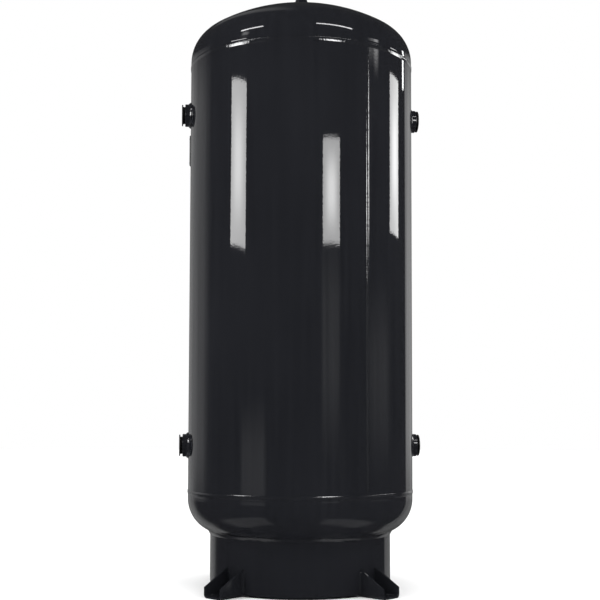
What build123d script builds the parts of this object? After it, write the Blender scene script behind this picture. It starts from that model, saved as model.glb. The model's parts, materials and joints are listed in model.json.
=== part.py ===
"""Vertical air receiver tank: rolled shell, two dished heads, ring base with four feet,
four side ports, a top port and a bottom drain, each closed by a threaded plug.

Millimetres, +Z up. The origin is on the tank's axis, on the floor under the feet.
"""
from build123d import *
import math
import os

os.makedirs("parts", exist_ok=True)

# ---------------------------------------------------------------- driving dimensions

# Pressure vessel
shell_diameter = 762.0        # outside
shell_length = 1440.0         # seam to seam
shell_wall = 4.8
head_wall = 4.8
crown_radius = 630.0          # outside of the dish
knuckle_radius = 115.5        # outside of the rounded corner
head_flange = 26.0            # straight part of the head outside the seam
head_insert = 26.0            # joggled part of the head inside the shell
joggle_gap = 0.4              # between the joggled part and the shell
floor_clearance = 108.7       # floor to the lowest point of the bottom head

# Welds of the vessel
seam_groove = 5.0             # between the shell's end and the head's shoulder
seam_bead_width = 16.0
seam_bead_height = 2.8
long_seam_angle = -57.4       # where the rolled plate meets itself, from +X
long_seam_root = 2.0
long_seam_mouth = 6.0
long_bead_width = 12.0
long_bead_height = 1.8

# Ring base
skirt_diameter = 609.6        # outside
skirt_wall = 4.8
skirt_seam_angle = 72.0
skirt_seam_gap = 3.0
skirt_weld_leg = 7.0
arch_radius = 42.0            # drain-pipe opening in the ring's left side
skirt_bead_width = 9.0
skirt_bead_height = 1.2

# Feet
foot_plate = 6.4
foot_width = 80.0
foot_length = 93.7            # ring to the foot's outer end
foot_tuck = 12.0              # how far the pad runs in under the ring
foot_bend_radius = 6.0        # inside of the bends
foot_height_outer = 34.0
foot_height_inner = 87.0
foot_bolt_offset = 50.2       # ring to the bolt hole's centre
foot_bolt_hole = 19.0
foot_weld_leg = 6.0
first_foot_angle = 45.0

# Pipe ports: outside diameter, length, projection past the plate, thread radius at the
# mouth, thread depth, bore radius past the thread and bevel
side_port_diameter = 76.0
side_port_length = 43.0
side_port_projection = 19.5
side_thread_radius = 29.9
side_thread_depth = 27.0
side_bore_radius = 28.4
port_bevel = 1.6
top_port_diameter = 44.5
top_port_length = 60.3
top_port_projection = 40.5
top_thread_radius = 16.5
top_thread_depth = 18.0
top_bore_radius = 14.7
top_bore_length = 12.0
drain_port_diameter = 35.0
drain_port_length = 26.0
drain_port_projection = 14.0
drain_thread_radius = 13.2
drain_thread_depth = 19.5
drain_bore_radius = 11.7
ports_turn = 4.4              # side ports' line, turned from the X axis
upper_port_drop = 159.0       # top seam down to the upper ports
lower_port_rise = 151.0       # bottom seam up to the lower ports
port_hole_fit = 0.3           # radial gap between a port and its hole
side_weld_leg = 6.5           # along the shell
side_weld_throw = 8.0         # along the port
small_weld_leg = 5.0
pipe_taper = 1 / 32           # radius change per length, 1 in 16 on the diameter

# Thread plugs
thread_clearance = 0.25
plug_wall = 2.6
side_plug_flange = 72.0
side_plug_flange_thickness = 4.2
side_plug_shank = 19.0
left_plug_standoff = 7.0      # flange to the port's face
right_plug_standoff = 4.0
plug_rim_round = 0.8
plug_recess_depth = 2.0
top_plug_flange = 42.0
top_plug_flange_thickness = 4.0
top_plug_shank = 15.0
top_plug_standoff = 7.0
top_plug_grip = 19.0          # across the square grip
plug_grip_height = 5.0
drain_plug_flange = 33.0
drain_plug_flange_thickness = 3.5
drain_plug_shank = 13.0
drain_plug_standoff = 3.0
drain_plug_grip = 14.0

# Data plate and its bracket
plate_angle = 171.7
plate_centre_drop = 271.0     # top seam down to the plate's middle
bracket_width = 92.0
bracket_height = 104.0
bracket_plate = 2.0
bracket_standoff = 1.5        # shell to the back of the bracket, at the middle
bracket_bend_radius = 2.5
bracket_weld_leg = 2.5
bracket_stitch = 26.0
data_plate_width = 82.0
data_plate_height = 94.0
data_plate_thickness = 0.8
rivet_inset = 5.5
rivet_shank_radius = 1.6
rivet_head_radius = 3.0
rivet_head_height = 1.5
rivet_tail = 1.6
rivet_clearance = 0.1

# ------------------------------------------------------------------- worked-out sizes

shell_radius = shell_diameter / 2
shell_bore = shell_radius - shell_wall
insert_radius = shell_bore - joggle_gap
knuckle_centre = shell_radius - knuckle_radius
crown_angle = math.asin(knuckle_centre / (crown_radius - knuckle_radius))
crown_drop = (crown_radius - knuckle_radius) * math.cos(crown_angle)
head_depth = crown_radius - crown_drop

bottom_tangent = floor_clearance + head_depth
bottom_seam = bottom_tangent + head_flange
top_seam = bottom_seam + shell_length
top_tangent = top_seam + head_flange
top_crown = top_tangent + head_depth

skirt_radius = skirt_diameter / 2
skirt_bore = skirt_radius - skirt_wall
foot_reach = skirt_radius + foot_length
foot_bolt_radius = skirt_radius + foot_bolt_offset
upper_port_height = top_seam - upper_port_drop
lower_port_height = bottom_seam + lower_port_rise
plate_height = top_seam - plate_centre_drop
bead_overlap = (seam_bead_width - seam_groove) / 2
far = 3 * shell_diameter      # longer than any cut has to be


def head_depth_at(radius):
    """How far the head's outside stands past its tangent line at a radius."""
    if radius < crown_radius * math.sin(crown_angle):
        return math.sqrt(crown_radius**2 - radius**2) - crown_drop
    return math.sqrt(knuckle_radius**2 - (radius - knuckle_centre) ** 2)


skirt_top = bottom_tangent - head_depth_at(skirt_bore)


def radial_plane(angle, distance, height):
    """A plane facing straight out from the axis, with its own Y pointing up."""
    turn = math.radians(angle)
    out = Vector(math.cos(turn), math.sin(turn), 0)
    along = Vector(-math.sin(turn), math.cos(turn), 0)
    origin = out * distance + Vector(0, 0, height)
    return Plane(origin=origin, x_dir=along, z_dir=out)


def plan_plane(angle, height):
    """A level plane whose X points out from the axis at an angle."""
    turn = math.radians(angle)
    out = Vector(math.cos(turn), math.sin(turn), 0)
    return Plane(origin=(0, 0, height), x_dir=out, z_dir=(0, 0, 1))


def section_plane(height, upward):
    """An upright plane through the axis: X is the radius, Y runs up or down from a height."""
    side = -1 if upward else 1
    return Plane(origin=(0, 0, height), x_dir=(1, 0, 0), z_dir=(0, side, 0))


def write(built, node):
    """Labels a finished piece and writes its STEP file."""
    built.part.label = node
    export_step(built.part, f"parts/{node}.step")


# ---------------------------------------------------------------------- vessel

top_line = section_plane(top_tangent, True)
bottom_line = section_plane(bottom_tangent, False)

left = 180 + ports_turn
right = ports_turn
side_ports = {
    "left_upper": (left, upper_port_height, left_plug_standoff),
    "left_lower": (left, lower_port_height, left_plug_standoff),
    "right_upper": (right, upper_port_height, right_plug_standoff),
    "right_lower": (right, lower_port_height, right_plug_standoff),
}


def make_shell():
    """The rolled plate, with its butt groove and the four port holes."""
    with BuildPart() as shell:
        with BuildSketch(Plane.XY.offset(bottom_seam)):
            Circle(shell_radius)
            Circle(shell_bore, mode=Mode.SUBTRACT)
        extrude(amount=shell_length)
        with BuildSketch(plan_plane(long_seam_angle, bottom_seam)):
            add(seam_groove_face(shell_radius, shell_wall, long_seam_root, long_seam_mouth))
        extrude(amount=shell_length, mode=Mode.SUBTRACT)
        for angle, height, _ in side_ports.values():
            with BuildSketch(radial_plane(angle, 0, height)):
                Circle(side_port_diameter / 2 + port_hole_fit)
            extrude(amount=far, mode=Mode.SUBTRACT)
    write(shell, "shell")


def seam_groove_face(radius, wall, root, mouth):
    """The V groove of a butt joint, running a little past both faces of the plate."""
    slope = (mouth - root) / 2 / wall
    inner = root / 2 - slope
    outer = mouth / 2 + slope
    with BuildSketch(Plane.XY) as groove:
        with BuildLine():
            Polyline(
                (radius - wall - 1, -inner),
                (radius + 1, -outer),
                (radius + 1, outer),
                (radius - wall - 1, inner),
                close=True,
            )
        make_face()
    return groove.sketch


def cap_face(radius, width, height):
    """The crowned cap of a bead lying along a round plate."""
    with BuildSketch(Plane.XY) as cap:
        with BuildLine():
            edge = math.sqrt(radius**2 - (width / 2) ** 2)
            ThreePointArc((edge, -width / 2), (radius + height, 0), (edge, width / 2))
            Line((edge, width / 2), (edge, -width / 2))
        make_face()
        Circle(radius, mode=Mode.SUBTRACT)
    return cap.sketch


def make_long_seam_weld():
    """The bead that closes the rolled plate."""
    with BuildPart() as long_seam_weld:
        with BuildSketch(plan_plane(long_seam_angle, bottom_seam)):
            add(seam_groove_face(shell_radius, shell_wall, long_seam_root, long_seam_mouth))
            Circle(shell_radius, mode=Mode.INTERSECT)
            Circle(shell_bore, mode=Mode.SUBTRACT)
        extrude(amount=shell_length)
        with BuildSketch(plan_plane(long_seam_angle, bottom_seam + bead_overlap)):
            add(cap_face(shell_radius, long_bead_width, long_bead_height))
        extrude(amount=shell_length - 2 * bead_overlap)
    write(long_seam_weld, "long_seam_weld")


def make_head(line, port_diameter, node):
    """A dished head with a joggled flange, drawn from its tangent line outward."""
    slope = math.atan2(shell_radius - insert_radius, seam_groove)
    shift = head_wall * math.tan(slope / 2)
    seam = -head_flange
    shoulder = seam + seam_groove
    end = seam - head_insert
    sweep = math.degrees(crown_angle)
    with BuildPart() as head:
        with BuildSketch(line):
            with BuildLine():
                for wall in (0, head_wall):
                    CenterArc((0, -crown_drop), crown_radius - wall, 90 - sweep, sweep)
                    CenterArc((knuckle_centre, 0), knuckle_radius - wall, 0, 90 - sweep)
                Polyline(
                    (shell_radius, 0),
                    (shell_radius, shoulder),
                    (insert_radius, seam),
                    (insert_radius, end),
                    (insert_radius - head_wall, end),
                    (insert_radius - head_wall, seam - shift),
                    (shell_radius - head_wall, shoulder - shift),
                    (shell_radius - head_wall, 0),
                )
                Line((0, head_depth), (0, head_depth - head_wall))
            make_face()
        revolve(axis=Axis.Z)
        with BuildSketch(Plane.XY):
            Circle(port_diameter / 2 + port_hole_fit)
        extrude(amount=far, mode=Mode.SUBTRACT)
    write(head, node)


def head_envelope(line):
    """The solid shape of a head's outside, carried well past its tangent line."""
    sweep = math.degrees(crown_angle)
    with BuildPart() as envelope:
        with BuildSketch(line):
            with BuildLine():
                CenterArc((0, -crown_drop), crown_radius, 90 - sweep, sweep)
                CenterArc((knuckle_centre, 0), knuckle_radius, 0, 90 - sweep)
                Polyline(
                    (shell_radius, 0),
                    (shell_radius, -shell_length / 2),
                    (0, -shell_length / 2),
                    (0, head_depth),
                )
            make_face()
        revolve(axis=Axis.Z)
    return envelope.part


def make_girth_weld(seam, upward, node):
    """The bead that joins a head to the shell: groove filling and a crowned cap."""
    with BuildPart() as girth_weld:
        with BuildSketch(section_plane(seam, upward)):
            with BuildLine():
                ThreePointArc(
                    (shell_radius, -bead_overlap),
                    (shell_radius + seam_bead_height, seam_groove / 2),
                    (shell_radius, seam_groove + bead_overlap),
                )
                Polyline(
                    (shell_radius, seam_groove + bead_overlap),
                    (shell_radius, seam_groove),
                    (insert_radius, 0),
                    (shell_bore, 0),
                    (shell_radius, 0),
                    (shell_radius, -bead_overlap),
                )
            make_face()
        revolve(axis=Axis.Z)
    write(girth_weld, node)


# ------------------------------------------------------------------- ring base


def make_skirt():
    """The rolled ring that carries the tank, with its butt groove and pipe opening."""
    with BuildPart() as skirt:
        with BuildSketch(Plane.XY.offset(foot_plate)):
            Circle(skirt_radius)
            Circle(skirt_bore, mode=Mode.SUBTRACT)
        extrude(amount=skirt_top - foot_plate)
        with BuildSketch(plan_plane(skirt_seam_angle, foot_plate)):
            add(seam_groove_face(skirt_radius, skirt_wall, skirt_seam_gap, skirt_seam_gap))
        extrude(amount=skirt_top, mode=Mode.SUBTRACT)
        with BuildSketch(radial_plane(180, 0, foot_plate)):
            Circle(arch_radius)
        extrude(amount=far, mode=Mode.SUBTRACT)
    write(skirt, "skirt")


def make_skirt_seam_weld():
    """The bead that closes the ring."""
    with BuildPart() as skirt_seam_weld:
        with BuildSketch(plan_plane(skirt_seam_angle, foot_plate)):
            add(seam_groove_face(skirt_radius, skirt_wall, skirt_seam_gap, skirt_seam_gap))
            Circle(skirt_radius, mode=Mode.INTERSECT)
            Circle(skirt_bore, mode=Mode.SUBTRACT)
        extrude(amount=skirt_top - foot_plate)
        with BuildSketch(plan_plane(skirt_seam_angle, foot_plate)):
            add(cap_face(skirt_radius, skirt_bead_width, skirt_bead_height))
        extrude(amount=skirt_top - foot_plate - skirt_weld_leg)
    write(skirt_seam_weld, "skirt_seam_weld")


def make_skirt_head_weld(bottom_envelope):
    """The fillet bead in the corner between the ring's top and the bottom head."""
    above = head_depth_at(skirt_bore)
    with BuildPart() as skirt_head_weld:
        with BuildSketch(section_plane(skirt_top, True)):
            with BuildLine():
                Polyline(
                    (skirt_bore, 0),
                    (skirt_radius, 0),
                    (skirt_radius, -skirt_weld_leg),
                    (skirt_radius + skirt_weld_leg, 0),
                    (skirt_radius + skirt_weld_leg, above),
                    (skirt_bore, above),
                    close=True,
                )
            make_face()
        revolve(axis=Axis.Z)
        add(bottom_envelope, mode=Mode.SUBTRACT)
    write(skirt_head_weld, "skirt_head_weld")


# ------------------------------------------------------------------------ feet


def make_foot(angle, node):
    """A plate bent into a channel: a pad on the floor and two sides with sloping tops."""
    half = (foot_width - foot_plate) / 2
    inner_end = skirt_bore - foot_tuck
    with BuildPart() as foot:
        with BuildSketch(radial_plane(angle, inner_end, 0)):
            with BuildLine():
                FilletPolyline(
                    (-half, foot_height_inner),
                    (-half, foot_plate / 2),
                    (half, foot_plate / 2),
                    (half, foot_height_inner),
                    radius=foot_bend_radius + foot_plate / 2,
                )
            trace(line_width=foot_plate)
        extrude(amount=foot_reach - inner_end)
        with BuildSketch(radial_plane(angle + 90, -foot_width, 0)):
            with BuildLine():
                Polyline(
                    (-foot_reach - 1, foot_height_outer),
                    (-foot_reach, foot_height_outer),
                    (-skirt_radius, foot_height_inner),
                    (-skirt_radius, 2 * foot_height_inner),
                    (-foot_reach - 1, 2 * foot_height_inner),
                    close=True,
                )
            make_face()
        extrude(amount=2 * foot_width, mode=Mode.SUBTRACT)
        with BuildSketch(Plane.XY.offset(foot_plate)):
            Circle(skirt_radius)
        extrude(amount=foot_height_inner, mode=Mode.SUBTRACT)
        with BuildSketch(plan_plane(angle, 0)):
            with Locations((foot_bolt_radius, 0)):
                Circle(foot_bolt_hole / 2)
        extrude(amount=foot_height_inner, mode=Mode.SUBTRACT)
    write(foot, node)


def make_foot_weld(angle, node):
    """Upright beads where a foot's sides meet the ring, and one along its pad."""
    half = foot_width / 2
    side = math.sqrt(skirt_radius**2 - half**2)
    past = math.sqrt(skirt_radius**2 - (half + foot_weld_leg) ** 2)
    bottom = foot_bend_radius + foot_plate
    drop = (foot_height_inner - foot_height_outer) / (foot_reach - skirt_radius)
    top = foot_height_inner - drop * 2 * foot_weld_leg
    pad_half = math.degrees(math.asin((half - bottom) / (skirt_radius + foot_weld_leg)))
    with BuildPart() as foot_weld:
        with BuildSketch(plan_plane(angle, bottom)):
            for sign in (-1, 1):
                with BuildLine():
                    Polyline(
                        (side - foot_weld_leg, sign * half),
                        (side + foot_weld_leg, sign * half),
                        (past, sign * (half + foot_weld_leg)),
                        (past - foot_weld_leg, sign * (half + foot_weld_leg)),
                        close=True,
                    )
                make_face()
        extrude(amount=top - bottom)
        with BuildSketch(radial_plane(angle - pad_half - 90, 0, 0)):
            with BuildLine():
                Polyline(
                    (skirt_radius, foot_plate),
                    (skirt_radius + foot_weld_leg, foot_plate),
                    (skirt_radius, foot_plate + foot_weld_leg),
                    close=True,
                )
            make_face()
        revolve(axis=Axis.Z, revolution_arc=2 * pad_half)
        with BuildSketch(Plane.XY):
            Circle(skirt_radius)
        extrude(amount=foot_height_inner, mode=Mode.SUBTRACT)
    write(foot_weld, node)


# ----------------------------------------------------------------------- ports


def side_face(angle):
    """A section plane at a side port's mouth: X is the port's radius, Y points out of it."""
    turn = math.radians(angle)
    out = Vector(math.cos(turn), math.sin(turn), 0)
    along = Vector(-math.sin(turn), math.cos(turn), 0)
    return Plane(origin=out * (shell_radius + side_port_projection), x_dir=along, z_dir=(0, 0, -1))


def raised(plane, height):
    """The same plane, moved up."""
    return Plane(origin=plane.origin + Vector(0, 0, height), x_dir=plane.x_dir, z_dir=plane.z_dir)


def make_port(face, diameter, length, thread_radius, thread_depth, bore_radius, bore_length, node):
    """A threaded pipe coupling: tapered thread at the mouth, then its plain bore.

    Where the coupling is longer than thread and bore, its far end is threaded too.
    """
    outer = diameter / 2
    root = thread_radius - thread_depth * pipe_taper
    bore_end = thread_depth + bore_length
    back = thread_radius - (length - bore_end) * pipe_taper
    with BuildPart() as port:
        with BuildSketch(face):
            with BuildLine():
                Polyline(
                    (bore_radius, -bore_end),
                    (bore_radius, -thread_depth),
                    (root, -thread_depth),
                    (thread_radius, 0),
                    (outer - port_bevel, 0),
                    (outer, -port_bevel),
                    (outer, -length + port_bevel),
                    (outer - port_bevel, -length),
                )
                if bore_end < length:
                    Polyline(
                        (outer - port_bevel, -length),
                        (thread_radius, -length),
                        (back, -bore_end),
                        (bore_radius, -bore_end),
                    )
                else:
                    Line((outer - port_bevel, -length), (bore_radius, -length))
            make_face()
        revolve(axis=Axis(face.origin, face.y_dir))
    write(port, node)


def make_port_weld(face, diameter, projection, leg, throw, plate, node):
    """The fillet bead round a port, lying on the plate that it goes through."""
    outer = diameter / 2
    sunk = 2 * throw
    with BuildPart() as port_weld:
        with BuildSketch(face):
            with BuildLine():
                Polyline(
                    (outer, throw - projection),
                    (outer, -sunk - projection),
                    (outer + leg * (throw + sunk) / throw, -sunk - projection),
                    close=True,
                )
            make_face()
        revolve(axis=Axis(face.origin, face.y_dir))
        add(plate, mode=Mode.SUBTRACT)
    write(port_weld, node)


def make_plug(face, flange, thickness, shank, standoff, thread_radius, grip, node):
    """A flanged thread plug: a hollow tapered shank under a flange with a grip."""
    tip = standoff - shank
    tip_radius = thread_radius + tip * pipe_taper - thread_clearance
    neck_radius = thread_radius + standoff * pipe_taper - thread_clearance
    top = standoff + thickness
    with BuildPart() as plug:
        with BuildSketch(face):
            with BuildLine():
                Polyline(
                    (0, standoff),
                    (neck_radius - plug_wall, standoff),
                    (tip_radius - plug_wall, tip),
                    (tip_radius, tip),
                    (neck_radius, standoff),
                    (flange / 2, standoff),
                    (flange / 2, top),
                    (0, top),
                    close=True,
                )
            make_face()
        revolve(axis=Axis(face.origin, face.y_dir))
        rims = plug.edges().filter_by(GeomType.CIRCLE).sort_by(SortBy.RADIUS)[-2:]
        fillet(rims, radius=plug_rim_round)
        outside = Plane(origin=face.origin + face.y_dir * top, x_dir=face.x_dir, z_dir=face.y_dir)
        with BuildSketch(outside):
            if grip:
                Rectangle(grip, grip)
            else:
                Circle(neck_radius - 2 * plug_wall)
                Rectangle(flange, 2 * thickness, mode=Mode.SUBTRACT)
        if grip:
            extrude(amount=plug_grip_height)
        else:
            extrude(amount=-plug_recess_depth, mode=Mode.SUBTRACT)
    write(plug, node)


# ------------------------------------------------------------------ data plate


def rivet_places():
    """The four corners of the data plate where its rivets go."""
    return GridLocations(
        data_plate_width - 2 * rivet_inset, data_plate_height - 2 * rivet_inset, 2, 2
    )


bracket_face = shell_radius + bracket_standoff + bracket_plate


def make_nameplate_bracket():
    """A shallow bent channel that stands off the shell and carries the data plate."""
    back = bracket_face - bracket_plate / 2
    half = (bracket_width - bracket_plate) / 2
    with BuildPart() as nameplate_bracket:
        with BuildSketch(plan_plane(plate_angle, plate_height - bracket_height / 2)):
            with BuildLine():
                FilletPolyline(
                    (shell_radius - bracket_width / 4, -half),
                    (back, -half),
                    (back, half),
                    (shell_radius - bracket_width / 4, half),
                    radius=bracket_bend_radius,
                )
            trace(line_width=bracket_plate)
        extrude(amount=bracket_height)
        with BuildSketch(Plane.XY):
            Circle(shell_radius)
        extrude(amount=far, mode=Mode.SUBTRACT)
        with BuildSketch(radial_plane(plate_angle, shell_radius, plate_height)):
            with rivet_places():
                Circle(rivet_shank_radius + rivet_clearance)
        extrude(amount=bracket_width, mode=Mode.SUBTRACT)
    write(nameplate_bracket, "nameplate_bracket")


def make_bracket_welds():
    """Two stitches of fillet bead along each leg of the bracket."""
    half = bracket_width / 2
    side = math.sqrt(shell_radius**2 - half**2)
    past = math.sqrt(shell_radius**2 - (half + bracket_weld_leg) ** 2)
    ends = (bracket_height / 2 - bracket_stitch, -bracket_height / 2)
    with BuildPart() as bracket_welds:
        for start in ends:
            with BuildSketch(plan_plane(plate_angle, plate_height + start)):
                for sign in (-1, 1):
                    with BuildLine():
                        Polyline(
                            (side - bracket_weld_leg, sign * half),
                            (side + bracket_weld_leg, sign * half),
                            (past, sign * (half + bracket_weld_leg)),
                            (past - bracket_weld_leg, sign * (half + bracket_weld_leg)),
                            close=True,
                        )
                    make_face()
            extrude(amount=bracket_stitch)
        with BuildSketch(Plane.XY):
            Circle(shell_radius)
        extrude(amount=far, mode=Mode.SUBTRACT)
    write(bracket_welds, "bracket_welds")


def make_data_plate():
    """The blank metal plate on the bracket."""
    with BuildPart() as data_plate:
        with BuildSketch(radial_plane(plate_angle, bracket_face, plate_height)):
            RectangleRounded(data_plate_width, data_plate_height, rivet_inset / 2)
            with rivet_places():
                Circle(rivet_shank_radius + rivet_clearance, mode=Mode.SUBTRACT)
        extrude(amount=data_plate_thickness)
    write(data_plate, "data_plate")


def make_data_plate_rivets():
    """Four blind rivets: a domed head, a shank through plate and bracket, and a tail."""
    front = bracket_face + data_plate_thickness
    grip = data_plate_thickness + bracket_plate
    with BuildPart() as data_plate_rivets:
        with BuildSketch(radial_plane(plate_angle, front - grip - rivet_tail, plate_height)):
            with rivet_places():
                Circle(rivet_shank_radius)
        extrude(amount=grip + rivet_tail)
        with BuildSketch(radial_plane(plate_angle, front, plate_height)):
            with rivet_places():
                Circle(rivet_head_radius)
        extrude(amount=rivet_head_height, taper=35)
    write(data_plate_rivets, "data_plate_rivets")


# ---------------------------------------------------------------- whole assembly

with BuildPart() as shell_envelope:
    with BuildSketch(Plane.XY.offset(bottom_seam)):
        Circle(shell_radius)
    extrude(amount=shell_length)

top_envelope = head_envelope(top_line)
bottom_envelope = head_envelope(bottom_line)

make_shell()
make_long_seam_weld()
make_head(top_line, top_port_diameter, "top_head")
make_head(bottom_line, drain_port_diameter, "bottom_head")
make_girth_weld(top_seam, True, "top_girth_weld")
make_girth_weld(bottom_seam, False, "bottom_girth_weld")

make_skirt()
make_skirt_seam_weld()
make_skirt_head_weld(bottom_envelope)
for number, place in enumerate(("rear_right", "rear_left", "front_left", "front_right")):
    make_foot(first_foot_angle + 90 * number, f"foot_{place}")
    make_foot_weld(first_foot_angle + 90 * number, f"foot_weld_{place}")

for place, (angle, height, standoff) in side_ports.items():
    mouth = raised(side_face(angle), height)
    make_port(
        mouth,
        side_port_diameter,
        side_port_length,
        side_thread_radius,
        side_thread_depth,
        side_bore_radius,
        side_port_length - side_thread_depth,
        f"port_{place}",
    )
    make_port_weld(
        mouth,
        side_port_diameter,
        side_port_projection,
        side_weld_leg,
        side_weld_throw,
        shell_envelope.part,
        f"port_weld_{place}",
    )
    make_plug(
        mouth,
        side_plug_flange,
        side_plug_flange_thickness,
        side_plug_shank,
        standoff,
        side_thread_radius,
        None,
        f"plug_{place}",
    )

top_mouth = section_plane(top_crown + top_port_projection, True)
make_port(
    top_mouth,
    top_port_diameter,
    top_port_length,
    top_thread_radius,
    top_thread_depth,
    top_bore_radius,
    top_bore_length,
    "port_top",
)
make_port_weld(
    top_mouth,
    top_port_diameter,
    top_port_projection,
    small_weld_leg,
    small_weld_leg,
    top_envelope,
    "port_weld_top",
)
make_plug(
    top_mouth,
    top_plug_flange,
    top_plug_flange_thickness,
    top_plug_shank,
    top_plug_standoff,
    top_thread_radius,
    top_plug_grip,
    "plug_top",
)

drain_mouth = section_plane(floor_clearance - drain_port_projection, False)
make_port(
    drain_mouth,
    drain_port_diameter,
    drain_port_length,
    drain_thread_radius,
    drain_thread_depth,
    drain_bore_radius,
    drain_port_length - drain_thread_depth,
    "port_drain",
)
make_port_weld(
    drain_mouth,
    drain_port_diameter,
    drain_port_projection,
    small_weld_leg,
    small_weld_leg,
    bottom_envelope,
    "port_weld_drain",
)
make_plug(
    drain_mouth,
    drain_plug_flange,
    drain_plug_flange_thickness,
    drain_plug_shank,
    drain_plug_standoff,
    drain_thread_radius,
    drain_plug_grip,
    "plug_drain",
)

make_nameplate_bracket()
make_bracket_welds()
make_data_plate()
make_data_plate_rivets()
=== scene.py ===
"""Visual model of the vertical air receiver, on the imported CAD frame. Metres, +Z up."""
import json
import math
import bpy
import bmesh
from mathutils import Matrix, Vector, noise


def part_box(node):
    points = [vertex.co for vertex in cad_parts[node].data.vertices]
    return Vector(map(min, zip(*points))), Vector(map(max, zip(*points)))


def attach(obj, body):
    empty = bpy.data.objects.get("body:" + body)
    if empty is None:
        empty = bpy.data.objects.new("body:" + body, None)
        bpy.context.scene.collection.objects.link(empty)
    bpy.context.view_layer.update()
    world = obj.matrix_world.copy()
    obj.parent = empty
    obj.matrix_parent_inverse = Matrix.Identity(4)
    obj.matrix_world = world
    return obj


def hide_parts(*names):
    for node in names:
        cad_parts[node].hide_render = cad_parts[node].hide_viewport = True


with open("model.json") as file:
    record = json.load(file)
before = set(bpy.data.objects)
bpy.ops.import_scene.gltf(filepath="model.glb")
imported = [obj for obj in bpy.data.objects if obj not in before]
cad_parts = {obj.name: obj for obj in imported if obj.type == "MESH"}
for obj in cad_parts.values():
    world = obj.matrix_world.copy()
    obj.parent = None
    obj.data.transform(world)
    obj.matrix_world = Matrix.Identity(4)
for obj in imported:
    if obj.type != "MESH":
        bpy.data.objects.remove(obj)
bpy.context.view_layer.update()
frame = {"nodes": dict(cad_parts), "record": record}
nodes = frame["nodes"]
mounts = {m["name"]: m for m in frame["record"]["mounts"]}

# ------------------------------------------------------------------ sizes of the CAD

SHELL_R = 0.381
CROWN_R, CROWN_DROP = 0.630, 0.4407
SKIRT_R = 0.3048
TOP_TANGENT, BOTTOM_TANGENT = 1.790, 0.298
SEAMS = ((1.7665, 1.0), (0.3215, -1.0))  # height of each girth seam, and the way its head lies
LONG_SEAM_ANGLE, RING_SEAM_ANGLE = -57.4, 72.0
SEAM_TRIM = 0.0055  # the long seam's bead stops this far short of each end of its node
PLATE_ANGLE, PLATE_FACE = 171.7, 0.3853  # data plate: direction, and distance of its face from the axis
BRACKET_HALF, BRACKET_LEG, STITCH = 0.046, 0.0025, 0.026
STITCH_STARTS = (0.026, -0.052)  # each stitch's lower end, from the plate's middle
FOOT_HALF, FOOT_LEG = 0.04, 0.006
PAD_TOE, PAD_TOP, PAD_REACH = 0.0064, 0.0124, 0.0276
PORTS = {  # mouth is the distance from the port's mount to its mouth
    "side": dict(mouth=0.035, outer=0.038, length=0.043, thread=0.0299, depth=0.027, bore=0.0284,
                 plain=0.016, flange=0.072, rim=0.0042, shank=0.019, pitch=0.00221, cut=0.0012, grip=None),
    "top": dict(mouth=0.024, outer=0.02225, length=0.0603, thread=0.0165, depth=0.018, bore=0.0147,
                plain=0.012, flange=0.042, rim=0.004, shank=0.015, pitch=0.00221, cut=0.0011, grip=0.019),
    "drain": dict(mouth=0.02275, outer=0.0175, length=0.026, thread=0.0132, depth=0.0195, bore=0.0117,
                  plain=0.0065, flange=0.033, rim=0.0035, shank=0.013, pitch=0.00181, cut=0.0009, grip=0.014),
}
STANDOFF = {"left_upper": 0.007, "left_lower": 0.007, "right_upper": 0.004, "right_lower": 0.004,
            "top": 0.007, "drain": 0.003}
TAPER = 1 / 32  # radius lost per length of pipe thread
PLUG_WALL, PLUG_SLACK = 0.0026, 0.00025
FEET = {"rear_right": 45, "rear_left": 135, "front_left": 225, "front_right": 315}

# ------------------------------------------------------------------------- materials


class Nodes:
    """A node tree whose nodes are added by short calls."""

    def __init__(self, tree):
        self.tree = tree

    def node(self, kind, inputs=None, **settings):
        made = self.tree.nodes.new(kind)
        for key, value in settings.items():
            setattr(made, key, value)
        for key, value in (inputs or {}).items():
            if isinstance(value, bpy.types.NodeSocket):
                self.tree.links.new(value, made.inputs[key])
            else:
                made.inputs[key].default_value = value
        return made

    def math(self, operation, first, second):
        made = self.node("ShaderNodeMath", {0: first, 1: second}, operation=operation)
        return made.outputs[0]

    def ramp(self, value, low, high, start, end, kind="LINEAR"):
        span = {"Value": value, "From Min": low, "From Max": high, "To Min": start, "To Max": end}
        return self.node("ShaderNodeMapRange", span, interpolation_type=kind).outputs["Result"]


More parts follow.
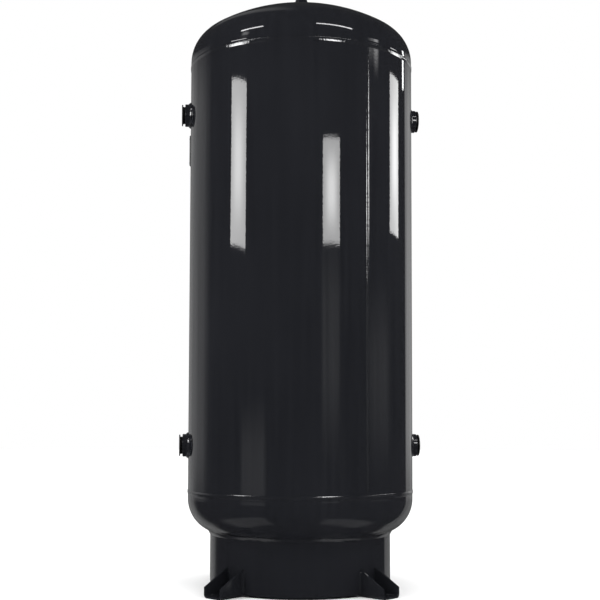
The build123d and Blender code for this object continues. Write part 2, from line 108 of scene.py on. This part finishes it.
class Shader(Nodes):
    """A material on the object's own coordinates."""

    def __init__(self, name):
        self.material = bpy.data.materials.new(name)
        self.material.use_nodes = True
        super().__init__(self.material.node_tree)
        self.shader = self.tree.nodes["Principled BSDF"]
        self.place = self.node("ShaderNodeTexCoord").outputs["Object"]

    def noise(self, scale, detail=2.0, stretch=(1, 1, 1), roughness=0.5):
        mapped = self.node("ShaderNodeMapping", {"Vector": self.place, "Scale": stretch})
        made = self.node("ShaderNodeTexNoise", {"Vector": mapped.outputs[0], "Scale": scale,
                                                "Detail": detail, "Roughness": roughness})
        return made.outputs["Fac"]

    def mix(self, factor, first, second):
        made = self.node("ShaderNodeMix", data_type="RGBA")
        self.tree.links.new(factor, made.inputs["Factor"])
        for socket, colour in ((made.inputs["A"], first), (made.inputs["B"], second)):
            if isinstance(colour, bpy.types.NodeSocket):
                self.tree.links.new(colour, socket)
            else:
                socket.default_value = (*colour, 1)
        return made.outputs["Result"]

    def bump(self, height, distance, normal=None):
        inputs = {"Height": height, "Distance": distance, "Strength": 1.0}
        if normal is not None:
            inputs["Normal"] = normal
        return self.node("ShaderNodeBump", inputs).outputs["Normal"]

    def set(self, **values):
        for key, value in values.items():
            socket = self.shader.inputs[key.replace("_", " ")]
            if isinstance(value, bpy.types.NodeSocket):
                self.tree.links.new(value, socket)
            elif isinstance(value, tuple):
                socket.default_value = (*value, 1)
            else:
                socket.default_value = value


def enamel(name, peel, gloss=0.5):
    """Gloss black enamel: orange peel, faint streaks down the plate and a slight step past each seam."""
    s = Shader(name)
    s.set(Specular_IOR_Level=gloss)
    cloud = s.ramp(s.noise(2.2, 3.0), 0.3, 0.7, 0.0, 0.5)
    streak = s.ramp(s.noise(60, 3.0, (1, 1, 0.03)), 0.35, 0.75, 0.0, 0.5)
    tone = s.math("ADD", cloud, streak)
    s.set(Base_Color=s.mix(tone, (0.0078, 0.0083, 0.0102), (0.0128, 0.0134, 0.0160)))
    s.set(Roughness=s.ramp(s.noise(26, 4.0, (1, 1, 0.2)), 0.3, 0.75, 0.018, 0.035), IOR=1.5)
    height = s.node("ShaderNodeSeparateXYZ", {0: s.place}).outputs["Z"]
    steps_up = None
    for seam, side in SEAMS:
        past = s.math("MULTIPLY", s.math("SUBTRACT", height, seam), side)
        rise = s.ramp(past, 0.0085, 0.0145, 0.0, 1.0, "SMOOTHSTEP")
        rise = s.math("MULTIPLY", rise, s.ramp(past, 0.02, 0.06, 1.0, 0.0, "SMOOTHSTEP"))
        steps_up = rise if steps_up is None else s.math("MAXIMUM", steps_up, rise)
    wave = s.bump(steps_up, 0.00022)
    wave = s.bump(s.noise(9.0, 2.0, (1, 1, 0.12)), 0.00006, wave)
    s.set(Normal=s.bump(s.noise(190, 2.0), peel, wave))
    return s.material


def plastic():
    """Black moulded polyethylene with a fine matt texture."""
    s = Shader("plug_plastic")
    s.set(Base_Color=s.mix(s.noise(60, 3.0), (0.0065, 0.0065, 0.007), (0.012, 0.012, 0.0125)))
    s.set(Roughness=s.ramp(s.noise(300, 3.0), 0.3, 0.7, 0.26, 0.40), IOR=1.5)
    s.set(Normal=s.bump(s.noise(1400, 2.0), 0.00001))
    return s.material


def brushed(name, direction, bright, dark):
    """Bare aluminium with brush lines."""
    s = Shader(name)
    lines = s.noise(900, 4.0, direction)
    s.set(Base_Color=s.mix(lines, dark, bright), Metallic=1.0)
    s.set(Roughness=s.ramp(lines, 0.3, 0.7, 0.24, 0.42))
    s.set(Normal=s.bump(lines, 0.00001))
    return s.material


ENAMEL = enamel("tank_enamel", 0.000032)
WELD = enamel("weld_enamel", 0.00010, 1.0)
PLASTIC = plastic()
PLATE = brushed("plate_metal", (1, 0.02, 1), (0.66, 0.67, 0.68), (0.48, 0.49, 0.50))
RIVET = brushed("rivet_metal", (1, 1, 1), (0.72, 0.72, 0.73), (0.6, 0.6, 0.61))

# ---------------------------------------------------------------------- mesh building


def piece(name, vertices, faces, material, body, stands_for=()):
    """A smooth mesh piece that rides on a CAD body."""
    mesh = bpy.data.meshes.new(name)
    mesh.from_pydata([tuple(v) for v in vertices], [], faces)
    mesh.validate()
    made = bmesh.new()
    made.from_mesh(mesh)
    bmesh.ops.recalc_face_normals(made, faces=made.faces)
    made.to_mesh(mesh)
    made.free()
    mesh.polygons.foreach_set("use_smooth", [True] * len(mesh.polygons))
    obj = bpy.data.objects.new(name, mesh)
    bpy.context.scene.collection.objects.link(obj)
    mesh.materials.append(material)
    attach(obj, body)
    if stands_for:
        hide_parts(*stands_for)
    return obj


def sharpen(obj, degrees):
    """Keeps edges steeper than an angle crisp."""
    made = bmesh.new()
    made.from_mesh(obj.data)
    for edge in made.edges:
        if len(edge.link_faces) == 2:
            edge.smooth = edge.calc_face_angle(0) < math.radians(degrees)
    made.to_mesh(obj.data)
    made.free()


def grid(rows, closed_rows, closed_columns, offset=0):
    """Quads over a grid of vertices numbered row by row."""
    count, width = len(rows), len(rows[0])
    faces = []
    for i in range(count if closed_rows else count - 1):
        for j in range(width if closed_columns else width - 1):
            a, b = i, (i + 1) % count
            c, d = j, (j + 1) % width
            faces.append((offset + a * width + c, offset + a * width + d,
                          offset + b * width + d, offset + b * width + c))
    return faces


BEAD_STEPS = 11  # points across a bead
TOE_SINK = 0.00012  # each toe dips this far into the plate
WELD_ROOT = 0.002  # depth of a butt weld's root under the plate's face


def cap(side):
    """A plain rounded cap."""
    return 1 - side * side


def gable(crest):
    """Two flat flanks under a rounded crest."""
    edge = math.hypot(1, crest)
    return lambda side: (edge - math.hypot(side, crest)) / (edge - crest)


def lopsided(side):
    """A long flank up to a crest near the far toe."""
    across = (side + 1) / 2
    return 1 - ((across - 0.8) / (0.8 if across < 0.8 else 0.2)) ** 2


def bead(name, stations, closed, bulge, stands_for, pitch, ripple, shape=cap):
    """A weld bead with crescent ripples. Each station is its two toes and the corner under them."""
    vertices, travelled = [], 0.0
    last = (stations[0][0] + stations[0][1]) / 2
    total = sum(((a[0] + a[1]) / 2 - (b[0] + b[1]) / 2).length
                for a, b in zip(stations, stations[1:]))
    pitch = total / max(1, round(total / pitch)) if closed else pitch
    for toe_a, toe_b, corner in stations:
        middle = (toe_a + toe_b) / 2
        travelled += (middle - last).length
        last = middle
        out = (middle - corner).normalized()
        wander = noise.noise(middle * 60)
        swell = 1 + 0.25 * noise.noise(middle * 170)
        for j in range(BEAD_STEPS):
            u = j / (BEAD_STEPS - 1)
            side = 2 * u - 1
            phase = travelled / pitch + 0.55 * side * side
            scallop = abs(math.sin(math.pi * phase)) ** 0.7
            lift = bulge * shape(side) * (1 - ripple + ripple * scallop) * min(swell, 1.0)
            lift -= TOE_SINK if j in (0, BEAD_STEPS - 1) else 0
            spread = 1 + 0.06 * wander * abs(side) - 0.04 * (1 - scallop) * abs(side)
            base = middle + (toe_b - toe_a) / 2 * side * min(spread, 1.0)
            vertices.append(base + out * lift)
        vertices.append(corner)
    width = BEAD_STEPS + 1
    faces = grid([[0] * width] * len(stations), closed, True)
    if not closed:
        faces.append(tuple(range(width)))
        faces.append(tuple(range((len(stations) - 1) * width, len(stations) * width)))
    return piece(name, vertices, faces, WELD, "tank", stands_for)


def polar(radius, angle, height):
    return Vector((radius * math.cos(angle), radius * math.sin(angle), height))


def crown(radius, top):
    """Height of a head's crown at a radius."""
    rise = math.sqrt(CROWN_R**2 - radius**2) - CROWN_DROP
    return TOP_TANGENT + rise if top else BOTTOM_TANGENT - rise


def steps(length, spacing=0.00075):
    return max(8, int(length / spacing))


def girth_bead(node, bulge, ripple, shape):
    """A ring bead between the shell and a head."""
    low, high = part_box(node)
    count = steps(2 * math.pi * SHELL_R)
    ring = []
    for i in range(count):
        a = 2 * math.pi * i / count
        ring.append((polar(SHELL_R, a, low.z), polar(SHELL_R, a, high.z),
                     polar(SHELL_R - WELD_ROOT, a, (low.z + high.z) / 2)))
    bead(node + "_bead", ring, True, bulge, (node,), pitch=0.0052, ripple=ripple, shape=shape)


def upright_bead(node, radius, angle, half, bulge, shape=cap):
    """A straight bead up a rolled plate."""
    low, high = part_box(node)
    bottom, top = low.z, high.z
    if node == "long_seam_weld":
        bottom, top = bottom + SEAM_TRIM, top - SEAM_TRIM
    a, turn = math.radians(angle), half / radius
    count = steps(top - bottom)
    line = []
    for i in range(count + 1):
        z = bottom + (top - bottom) * i / count
        line.append((polar(radius, a - turn, z), polar(radius, a + turn, z),
                     polar(radius - WELD_ROOT, a, z)))
    bead(node + "_bead", line, False, bulge, (node,), pitch=0.0048, ripple=0.12, shape=shape)


def skirt_bead():
    """The fillet between the ring and the bottom head."""
    low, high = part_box("skirt_head_weld")
    outer = high.x
    count = steps(2 * math.pi * SKIRT_R)
    ring = []
    for i in range(count):
        a = 2 * math.pi * i / count
        ring.append((polar(SKIRT_R, a, low.z), polar(outer, a, crown(outer, False)),
                     polar(SKIRT_R - 0.001, a, crown(SKIRT_R, False))))
    bead("skirt_head_weld_bead", ring, True, 0.0006, ("skirt_head_weld",), pitch=0.005, ripple=0.2)


def side_port_bead(place, axis, height):
    """The fillet round a side port, following the shell's curve."""
    radius = PORTS["side"]["outer"]
    out = Vector(axis)
    along = Vector((-out.y, out.x, 0))
    count = steps(2 * math.pi * (radius + 0.003))
    ring = []
    for i in range(count):
        a = 2 * math.pi * i / count
        across = radius * math.cos(a)
        corner = out * math.sqrt(SHELL_R**2 - across**2) + along * across
        corner.z = height + radius * math.sin(a)
        wide = (radius + 0.0065) * math.cos(a)
        toe = out * math.sqrt(SHELL_R**2 - wide**2) + along * wide
        toe.z = height + (radius + 0.0065) * math.sin(a)
        ring.append((toe, corner + out * 0.008, corner - out * 0.001))
    bead(f"port_weld_{place}_bead", ring, True, 0.0009, (f"port_weld_{place}",), pitch=0.0042, ripple=0.2)


def crown_port_bead(place, top):
    """The fillet round a port on a head's crown."""
    radius = PORTS[place]["outer"]
    up = 1 if top else -1
    count = steps(2 * math.pi * (radius + 0.002))
    ring = []
    for i in range(count):
        a = 2 * math.pi * i / count
        ring.append((polar(radius + 0.005, a, crown(radius + 0.005, top)),
                     polar(radius, a, crown(radius, top) + up * 0.005),
                     polar(radius - 0.0005, a, crown(radius, top) - up * 0.001)))
    bead(f"port_weld_{place}_bead", ring, True, 0.0006, (f"port_weld_{place}",), pitch=0.0036, ripple=0.2)


def corner_bead(name, angle, radius, half, leg, bottom, top, stands_for):
    """An upright fillet where a plate edge, half off the radial line, meets a round plate."""
    a = math.radians(angle)
    out = Vector((math.cos(a), math.sin(a), 0))
    along = Vector((-math.sin(a), math.cos(a), 0))
    sign = 1 if half > 0 else -1
    near = math.sqrt(radius**2 - half**2)
    past = math.sqrt(radius**2 - (abs(half) + leg) ** 2)
    count = steps(top - bottom)
    line = []
    for i in range(count + 1):
        rise = Vector((0, 0, bottom + (top - bottom) * i / count))
        line.append((out * (near + leg) + along * half + rise,
                     out * past + along * (half + sign * leg) + rise,
                     out * (near - 0.0005) + along * (half - sign * 0.0005) + rise))
    bead(name, line, False, 0.0007, stands_for, pitch=0.004, ripple=0.2)


def foot_beads(place, angle):
    """The beads along one foot's sides and across its pad."""
    node = f"foot_weld_{place}"
    low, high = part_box(node)
    for side, half in (("a", -FOOT_HALF), ("b", FOOT_HALF)):
        corner_bead(f"{node}_bead_{side}", angle, SKIRT_R, half, FOOT_LEG, PAD_TOP, high.z, (node,))
    reach = math.asin(PAD_REACH / (SKIRT_R + FOOT_LEG))
    middle = math.radians(angle)
    count = steps(2 * reach * SKIRT_R)
    arc = []
    for i in range(count + 1):
        a = middle - reach + 2 * reach * i / count
        arc.append((polar(SKIRT_R + FOOT_LEG, a, PAD_TOE), polar(SKIRT_R, a, PAD_TOP),
                    polar(SKIRT_R - 0.0005, a, 0.0059)))
    bead(f"{node}_bead_pad", arc, False, 0.0006, (node,), pitch=0.004, ripple=0.2)


# ------------------------------------------------------------------ ports and plugs


def outward(mount, distance):
    """The matrix of a port's mouth: +Z out of the port, +X level."""
    z = Vector(mount["axis"]).normalized()
    x = Vector((0, 0, 1)).cross(z) if abs(z.z) < 0.9 else Vector((1, 0, 0))
    x.normalize()
    y = z.cross(x)
    made = Matrix((x, y, z)).transposed().to_4x4()
    made.translation = Vector(mount["pos_m"]) + z * distance
    return made


def threaded_rows(start, end, cut, pitch):
    """Rows (radius, height, cut) along a tapered thread, with the cut run out at both ends."""
    length = abs(end[1] - start[1])
    count = max(2, int(length / pitch * 9))
    rows = []
    for i in range(count + 1):
        t = i / count
        fade = min(1.0, t * length / pitch, (1 - t) * length / pitch)
        rows.append((start[0] + (end[0] - start[0]) * t, start[1] + (end[1] - start[1]) * t, cut * fade))
    return rows


def rounded(corner, before, after, radius, count=4):
    """Points of a small round at a profile's corner."""
    c, p, q = Vector(corner), Vector(before), Vector(after)
    first, last = c + (p - c).normalized() * radius, c + (q - c).normalized() * radius
    points = []
    for i in range(count + 1):
        t = i / count
        at = first * (1 - t) ** 2 + c * 2 * t * (1 - t) + last * t * t
        points.append((at.x, at.y, 0.0))
    return points


def turned(rows, matrix, pitch, segments=112):
    """Vertices and faces of a turned solid whose rows may carry a thread. It closes on the axis."""
    vertices, faces, rings = [], [], []
    for radius, height, cut in rows:
        if radius < 1e-6:
            rings.append([len(vertices)])
            vertices.append(matrix @ Vector((0, 0, height)))
            continue
        ring = []
        for k in range(segments):
            a = 2 * math.pi * k / segments
            phase = (height / pitch - k / segments) % 1.0
            groove = min(1.0, max(0.0, 1.35 * (1 - abs(2 * phase - 1)) - 0.18))
            r = radius - cut * groove
            ring.append(len(vertices))
            vertices.append(matrix @ Vector((r * math.cos(a), r * math.sin(a), height)))
        rings.append(ring)
    for low, high in zip(rings, rings[1:]):
        for k in range(segments):
            n = (k + 1) % segments
            if len(low) == 1 and len(high) > 1:
                faces.append((low[0], high[n], high[k]))
            elif len(high) == 1 and len(low) > 1:
                faces.append((low[k], low[n], high[0]))
            elif len(low) > 1:
                faces.append((low[k], low[n], high[n], high[k]))
    return vertices, faces, rings


def round_profile(points, radius):
    """A profile's rows with every corner but the ends rounded a little."""
    rows = [(*points[0], 0.0)]
    for before, corner, after in zip(points, points[1:], points[2:]):
        rows += rounded(corner, before, after, radius)
    rows.append((*points[-1], 0.0))
    return rows


def port(place, sizes, mount):
    """A pipe coupling: turned outside, tapered thread at the mouth and a plain bore behind it."""
    outer, mouth, depth = sizes["outer"], sizes["thread"], sizes["depth"]
    length, bore, plain = sizes["length"], sizes["bore"], sizes["plain"]
    root = mouth - depth * TAPER
    rows = [(mouth + 0.0006, -0.0006, 0.0)]
    rows += round_profile([(mouth + 0.0012, 0.0), (outer - 0.0016, 0.0), (outer, -0.0016),
                           (outer, -length + 0.0016), (outer - 0.0016, -length),
                           (bore + 0.001, -length)], 0.0004)
    if depth + plain < length - 0.0001:
        back = mouth - (length - depth - plain) * TAPER
        rows += threaded_rows((mouth, -length + 0.0006), (back, -depth - plain),
                              -sizes["cut"], sizes["pitch"])
    else:
        rows.append((bore, -length + 0.0006, 0.0))
    rows += [(bore, -depth - plain, 0.0), (bore, -depth, 0.0)]
    rows += threaded_rows((root, -depth), (mouth, -0.0006), -sizes["cut"], sizes["pitch"])
    vertices, faces, rings = turned(rows, outward(mount, sizes["mouth"]), sizes["pitch"])
    first, last = rings[0], rings[-1]
    for k in range(len(first)):
        n = (k + 1) % len(first)
        faces.append((last[k], last[n], first[n], first[k]))
    made = piece(f"port_{place}_body", vertices, faces, ENAMEL, "tank", (f"port_{place}",))
    sharpen(made, 50)


def block(matrix, size, low, high, round_off, lean=0.0):
    """Vertices and faces of a rounded block, size across, from one height to another."""
    made = bmesh.new()
    bmesh.ops.create_cube(made, size=1.0)
    for v in made.verts:
        shrink = 1 - lean * (v.co.z + 0.5)
        v.co = Vector((v.co.x * size[0] * shrink, v.co.y * size[1] * shrink,
                       low + (v.co.z + 0.5) * (high - low)))
    bmesh.ops.bevel(made, geom=list(made.edges), offset=round_off, segments=3, profile=0.5, affect="EDGES")
    made.verts.index_update()
    vertices = [matrix @ v.co for v in made.verts]
    faces = [tuple(v.index for v in f.verts) for f in made.faces]
    made.free()
    return vertices, faces


def plug(place, sizes, mount, standoff):
    """A flanged thread plug: hollow threaded shank, flange, and a grip bar or a square grip."""
    matrix = outward(mount, sizes["mouth"])
    tip = standoff - sizes["shank"]
    tip_r = sizes["thread"] + tip * TAPER - PLUG_SLACK
    neck_r = sizes["thread"] + standoff * TAPER - PLUG_SLACK
    wall, half, top = PLUG_WALL, sizes["flange"] / 2, standoff + sizes["rim"]
    rows = [(0.0, standoff, 0.0)]
    rows += rounded((neck_r - wall, standoff), (0, standoff), (tip_r - wall, tip), 0.0008)
    rows += rounded((tip_r - wall, tip), (neck_r - wall, standoff), (tip_r, tip), 0.0005)
    rows += rounded((tip_r - 0.0004, tip), (tip_r - wall, tip), (tip_r, tip + 0.0006), 0.0003)
    rows += threaded_rows((tip_r, tip + 0.0006), (neck_r, standoff - 0.0002), sizes["cut"], sizes["pitch"])
    rows.append((neck_r, standoff, 0.0))
    rows += rounded((half, standoff), (neck_r, standoff), (half, top), 0.0008)
    rows += rounded((half, top), (half, standoff), (0, top), 0.0008)
    if sizes["grip"]:
        ring = sizes["grip"] * 0.78
        rows += round_profile([(half - 0.0022, top), (half - 0.0026, top - 0.0005), (ring, top - 0.0005),
                               (ring - 0.0004, top)], 0.0001)[1:-1]
        rows.append((0.0, top, 0.0))
    else:
        dish = neck_r - 2 * wall
        rows += rounded((dish, top), (half, top), (dish, top - 0.002), 0.0006)
        rows += rounded((dish, top - 0.002), (dish, top), (0, top - 0.002), 0.0006)
        rows.append((0.0, top - 0.002, 0.0))
    vertices, faces, _ = turned(rows, matrix, sizes["pitch"])
    if sizes["grip"]:
        grip = sizes["grip"]
        more = block(matrix, (grip, grip), top - 0.001, top + 0.00498, 0.0009, 0.05)
    else:
        more = block(matrix, (2 * dish + 0.002, 2 * sizes["rim"]), top - 0.003, top - 0.0001, 0.0006)
    faces += [tuple(len(vertices) + i for i in face) for face in more[1]]
    vertices += more[0]
    made = piece(f"plug_{place}_body", vertices, faces, PLASTIC,
                 f"plug_{place}", (f"plug_{place}",))
    sharpen(made, 60)


# ------------------------------------------------------------------- plates and feet


def soften(node, width, material):
    """Stands in for a flat-sided CAD node with a copy whose cut edges are rounded."""
    mesh = nodes[node].data.copy()
    obj = bpy.data.objects.new(node + "_soft", mesh)
    bpy.context.scene.collection.objects.link(obj)
    made = bmesh.new()
    made.from_mesh(mesh)
    bmesh.ops.remove_doubles(made, verts=made.verts, dist=0.000005)
    bmesh.ops.dissolve_limit(made, angle_limit=math.radians(0.6), verts=made.verts, edges=made.edges)
    bmesh.ops.recalc_face_normals(made, faces=made.faces)
    made.to_mesh(mesh)
    made.free()
    bevel = obj.modifiers.new("edges", "BEVEL")
    bevel.width = width
    bevel.segments = 3
    bevel.limit_method = "ANGLE"
    bevel.angle_limit = math.radians(40)
    bevel.use_clamp_overlap = True
    depsgraph = bpy.context.evaluated_depsgraph_get()
    baked = bpy.data.meshes.new_from_object(obj.evaluated_get(depsgraph))
    obj.modifiers.clear()
    obj.data = baked
    baked.polygons.foreach_set("use_smooth", [True] * len(baked.polygons))
    baked.materials.clear()
    baked.materials.append(material)
    if baked.attributes.get("custom_normal"):
        baked.attributes.remove(baked.attributes["custom_normal"])
    sharpen(obj, 32)
    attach(obj, "tank")
    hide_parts(node)


def plate_fields():
    """Blank raised fields on the data plate: a heading and two columns of boxes."""
    angle = math.radians(PLATE_ANGLE)
    out = Vector((math.cos(angle), math.sin(angle), 0))
    along = Vector((-math.sin(angle), math.cos(angle), 0))
    face = Matrix((along, Vector((0, 0, 1)), out)).transposed().to_4x4()
    face.translation = out * PLATE_FACE + Vector((0, 0, PLATE_Z))
    boxes = [(0.0, 0.034, 0.052, 0.012)]
    boxes += [(side * 0.0175, 0.019 - 0.0095 * row, 0.031, 0.0065) for row in range(6) for side in (-1, 1)]
    vertices, faces = [], []
    for x, y, width, height in boxes:
        more = block(face @ Matrix.Translation((x, y, 0)), (width, height), -0.0004, 0.0002, 0.0001)
        faces += [tuple(len(vertices) + i for i in ring) for ring in more[1]]
        vertices += more[0]
    sharpen(piece("data_plate_fields", vertices, faces, PLATE, "tank"), 40)


# ------------------------------------------------------------------------ build it

for node in ("shell", "top_head", "bottom_head", "skirt", "nameplate_bracket"):
    nodes[node].data.materials.clear()
    nodes[node].data.materials.append(ENAMEL)

girth_bead("top_girth_weld", 0.0015, 0.12, lopsided)
girth_bead("bottom_girth_weld", 0.0018, 0.2, gable(0.5))
upright_bead("long_seam_weld", SHELL_R, LONG_SEAM_ANGLE, 0.006, 0.0017, gable(0.2))
upright_bead("skirt_seam_weld", SKIRT_R, RING_SEAM_ANGLE, 0.0045, 0.0011)
skirt_bead()
for place, angle in FEET.items():
    foot_beads(place, angle)
    soften(f"foot_{place}", 0.0014, ENAMEL)

for place, standoff in STANDOFF.items():
    sizes = PORTS.get(place, PORTS["side"])
    mount = mounts[f"port_{place}_bore"]
    port(place, sizes, mount)
    plug(place, sizes, mount, standoff)
    if place in PORTS:
        crown_port_bead(place, place == "top")
    else:
        side_port_bead(place, mount["axis"], mount["pos_m"][2])

low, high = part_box("nameplate_bracket")
PLATE_Z = (low.z + high.z) / 2
stitches = [(half, start) for start in STITCH_STARTS for half in (-BRACKET_HALF, BRACKET_HALF)]
for number, (half, start) in enumerate(stitches):
    corner_bead(f"bracket_weld_bead_{number}", PLATE_ANGLE, SHELL_R, half, BRACKET_LEG,
                PLATE_Z + start, PLATE_Z + start + STITCH, ("bracket_welds",))
for node, material in (("data_plate", PLATE), ("data_plate_rivets", RIVET)):
    nodes[node].data.materials.clear()
    nodes[node].data.materials.append(material)
plate_fields()

# -------------------------------------------------------------------------- studio

PANEL_RING = 3.0  # distance of the light panels from the tank's axis

def ring_point(azimuth, distance, height):
    """A point round the tank; azimuth 0 is the front and grows to the right."""
    a = math.radians(azimuth)
    return Vector((distance * math.sin(a), -distance * math.cos(a), height))


def panel(name, left, right, tall, radiance, target, centre=0.0):
    """A soft panel, brighter towards its middle, whose middle line runs between two points."""
    left, right = Vector(left), Vector(right)
    x = (right - left).normalized()
    middle = (left + right) / 2
    z = (middle - Vector(target)).normalized()
    y = z.cross(x).normalized()
    z = x.cross(y)
    data = bpy.data.lights.new(name, "AREA")
    data.shape = "RECTANGLE"
    data.size, data.size_y = (right - left).length, tall
    data.energy = radiance * math.pi * data.size * data.size_y
    obj = bpy.data.objects.new(name, data)
    bpy.context.scene.collection.objects.link(obj)
    obj.matrix_world = Matrix((x, y, z)).transposed().to_4x4()
    obj.location = middle
    obj.visible_camera = False
    data.use_nodes = True
    cloth = Nodes(data.node_tree)
    across = cloth.node("ShaderNodeNewGeometry").outputs["Parametric"]
    bright = centre
    for part in list(cloth.node("ShaderNodeSeparateXYZ", {0: across}).outputs)[:2]:
        off = cloth.math("SUBTRACT", part, 0.5)
        fade = cloth.ramp(cloth.math("ABSOLUTE", off, 0.0), 0.05, 0.5, 1.0, 0.0, "SMOOTHSTEP")
        bright = cloth.math("MULTIPLY", bright, fade)
    emission = cloth.tree.nodes["Emission"]
    cloth.tree.links.new(cloth.math("ADD", bright, 1.0), emission.inputs["Strength"])


def standing_panel(name, first, last, low, high, radiance, centre, lean=0.0):
    """An upright soft panel on the ring round the tank, its far end hung lower by a lean."""
    middle = (low + high) / 2
    panel(name, ring_point(first, PANEL_RING, middle + lean), ring_point(last, PANEL_RING, middle - lean),
          high - low, radiance, (0, 0, middle), centre)


standing_panel("panel_left", -71.9, -54.9, 1.494, 2.426, 9.6, 0.55, 0.016)
standing_panel("panel_front", 19.2, 35.6, 1.498, 2.081, 8.6, 0.9)
standing_panel("panel_right", 95.9, 111.1, 1.59, 2.500, 7.2, 0.55, 0.014)
standing_panel("panel_right_edge", 120.6, 124.0, 2.462, 2.72, 9.0, 0.0)
panel("ceiling_left", ring_point(-65.3, PANEL_RING, 3.466), ring_point(-42.1, PANEL_RING, 3.937),
      0.20, 17.0, (0, 0, 1.8))
panel("ceiling_right", ring_point(15.0, PANEL_RING, 4.388), ring_point(52.7, PANEL_RING, 3.675),
      0.20, 17.0, (0, 0, 1.8))

sky = bpy.data.lights.new("sky", "SUN")
sky.energy = 4.2
sky.angle = math.radians(150)
sky_object = bpy.data.objects.new("sky", sky)
sky_object.visible_glossy = False
bpy.context.scene.collection.objects.link(sky_object)

world = bpy.data.worlds.new("studio")
bpy.context.scene.world = world
world.use_nodes = True
world.node_tree.nodes.clear()
room = Nodes(world.node_tree)
direction = room.node("ShaderNodeTexCoord").outputs["Generated"]
parts = room.node("ShaderNodeSeparateXYZ", {0: direction}).outputs
azimuth = room.math("ARCTAN2", parts["X"], room.math("MULTIPLY", parts["Y"], -1.0))


def glow(first, last, low, high, soft_first, soft_last, soft_end, radiance):
    """A soft patch of the room between two azimuths (degrees) and two heights (sine)."""
    a, b, v, w = (math.radians(value) for value in (first, last, soft_first, soft_last))
    edges = (room.ramp(azimuth, a - v, a + v, 0.0, radiance, "SMOOTHSTEP"),
             room.ramp(azimuth, b - w, b + w, 1.0, 0.0, "SMOOTHSTEP"),
             room.ramp(parts["Z"], low - soft_end, low + soft_end, 0.0, 1.0, "SMOOTHSTEP"),
             room.ramp(parts["Z"], high - soft_end, high + soft_end, 1.0, 0.0, "SMOOTHSTEP"))
    patch = edges[0]
    for edge in edges[1:]:
        patch = room.math("MULTIPLY", patch, edge)
    return patch


light = 0.0
for patch in (glow(-166, -112, -0.07, 0.30, 12, 9, 0.05, 0.36),  # left rim of the shell
              glow(-166, -138, -0.6, -0.07, 12, 9, 0.05, 0.36),  # left rim, below eye level
              glow(134, 160, -0.05, 0.30, 2, 16, 0.05, 0.42),  # right rim of the shell
              glow(134, 160, -0.6, 0.30, 2, 16, 0.05, 0.30),  # right rim, all the way down
              glow(20, 38, -0.01, 0.13, 2, 2, 0.05, 0.34),  # faint strip under the front panel
              glow(72, 98, -0.02, 0.08, 8, 8, 0.05, 0.26),  # faint patch low on the right
              glow(73, 84, 0.304, 0.330, 4, 2, 0.016, 2.4),  # plume under the top seam
              glow(79, 84, 0.294, 0.330, 2, 1, 0.014, 2.6),  # bright right edge of the plume
              glow(-65, -58, 0.33, 0.46, 2, 2, 0.03, 2.4),  # short patch on the left knuckle
              glow(-62, -36, -0.09, -0.01, 3, 3, 0.03, 0.30),  # faint strip low on the left
              glow(-110, -44, -0.88, -0.62, 12, 6, 0.04, 0.30),  # bottom head, left
              glow(30, 105, -0.88, -0.68, 6, 12, 0.04, 0.30),  # bottom head, right
              glow(-172, -150, 0.60, 0.95, 8, 5, 0.06, 0.20)):
    light = room.math("ADD", patch, light)
grain = room.node("ShaderNodeMapping", {"Vector": direction, "Scale": (26, 26, 2)})
grain = room.node("ShaderNodeTexNoise", {"Vector": grain.outputs[0], "Scale": 1.0, "Detail": 3.0})
light = room.math("MULTIPLY", light, room.ramp(grain.outputs["Fac"], 0.3, 0.7, 0.75, 1.25))
light = room.math("ADD", light, 0.03)
soft = room.node("ShaderNodeBackground", {"Color": light})
white = room.node("ShaderNodeBackground", {"Color": (1, 1, 1, 1)})
rays = room.node("ShaderNodeLightPath").outputs["Is Camera Ray"]
choose = room.node("ShaderNodeMixShader", {0: rays, 1: soft.outputs[0], 2: white.outputs[0]})
room.node("ShaderNodeOutputWorld", {"Surface": choose.outputs[0]})

made = bmesh.new()
bmesh.ops.create_circle(made, cap_ends=True, segments=128, radius=14.0)
floor_mesh = bpy.data.meshes.new("floor")
made.to_mesh(floor_mesh)
made.free()
floor = bpy.data.objects.new("floor", floor_mesh)
bpy.context.scene.collection.objects.link(floor)
floor_paint = Shader("floor_paint")
floor_tone = floor_paint.noise(1.5, 3.0)
floor_paint.set(Base_Color=floor_paint.mix(floor_tone, (0.90, 0.90, 0.90), (0.92, 0.92, 0.92)))
floor_paint.set(Roughness=0.9)
floor_mesh.materials.append(floor_paint.material)
floor.visible_glossy = False

camera = bpy.data.objects.new("camera", bpy.data.cameras.new("camera"))
bpy.context.scene.collection.objects.link(camera)
bpy.context.scene.camera = camera
AZIMUTH, DISTANCE, HEIGHT = math.radians(-1.3147), 3.9452, 0.5904
TILT, ROLL = 0.0602, 0.0024
camera.location = (DISTANCE * math.sin(AZIMUTH), -DISTANCE * math.cos(AZIMUTH), HEIGHT)
turn = Matrix.Rotation(AZIMUTH, 4, "Z") @ Matrix.Rotation(math.pi / 2 + TILT, 4, "X")
turn = turn @ Matrix.Rotation(ROLL, 4, "Z")
camera.rotation_mode = "QUATERNION"
camera.rotation_quaternion = turn.to_quaternion()
camera.data.sensor_width = 36.0
camera.data.lens = 69.045
camera.data.shift_x = -0.0009
camera.data.shift_y = 0.07
camera.data.clip_end = 100.0

bpy.context.scene.view_settings.view_transform = "Standard"
